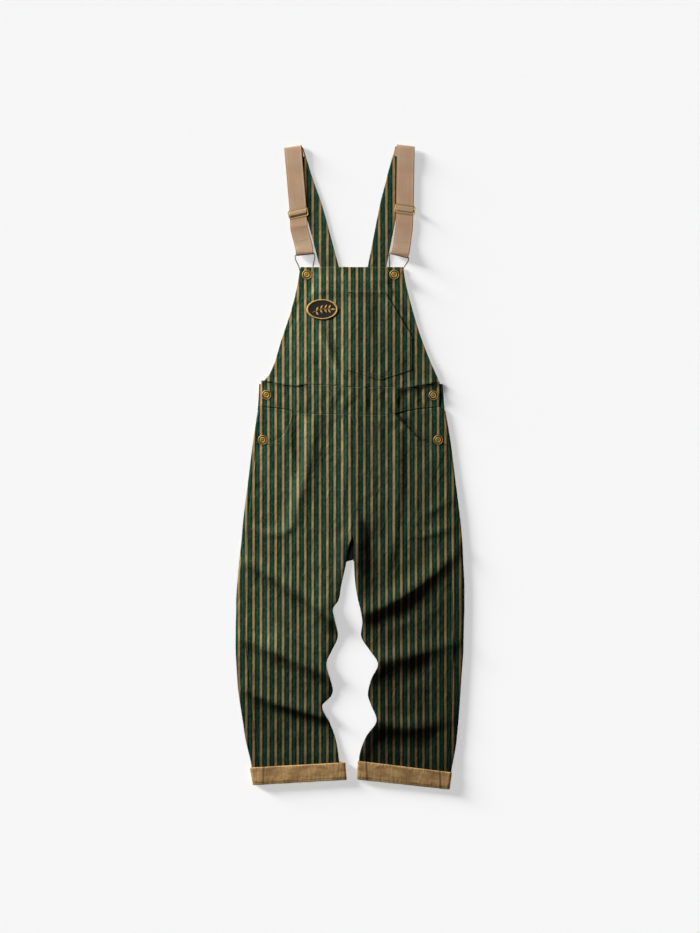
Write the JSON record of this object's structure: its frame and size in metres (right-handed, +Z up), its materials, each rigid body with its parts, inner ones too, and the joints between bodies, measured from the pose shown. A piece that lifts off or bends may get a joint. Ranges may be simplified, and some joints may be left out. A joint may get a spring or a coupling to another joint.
{
  "type": "bib dungarees",
  "caption": "Bib dungarees in striped twill laid flat on their back, with a pocketed bib, scooped hip pockets, turned-up cuffs and elastic webbing straps in wire buckles.",
  "frame": {"origin": "centre of the garment's box on the surface it lies on", "axes": "+X towards the bib's pocket side, +Y from the hems to the straps, +Z up out of the front of the garment"},
  "size_m": [0.4802, 1.3532, 0.0144],
  "materials": {
    "twill": "striped cotton twill",
    "twill_reverse": "khaki reverse of the twill",
    "webbing": "ribbed elastic webbing",
    "patch": "embroidered felt",
    "brass": "brushed"
  },
  "bodies": {
    "root": {"front_leg_left": "twill", "front_leg_right": "twill", "back_leg_left": "twill", "back_leg_right": "twill", "pocket_facing_left": "twill", "pocket_facing_right": "twill", "cuff_left": "twill_reverse", "cuff_right": "twill_reverse", "waistband_front": "twill", "waistband_back": "twill", "bib_front": "twill", "bib_pocket": "twill", "back_bib": "twill", "bib_patch": "patch", "back_strap_left": "twill", "back_strap_right": "twill", "webbing_left": "webbing", "webbing_right": "webbing", "slider_left": "brass", "slider_right": "brass", "buckle_left": "brass", "buckle_right": "brass", "bib_button_left": "brass", "bib_button_right": "brass", "waist_button_left": "brass", "waist_button_right": "brass", "hip_button_left": "brass", "hip_button_right": "brass"}
  },
  "joints": []
}
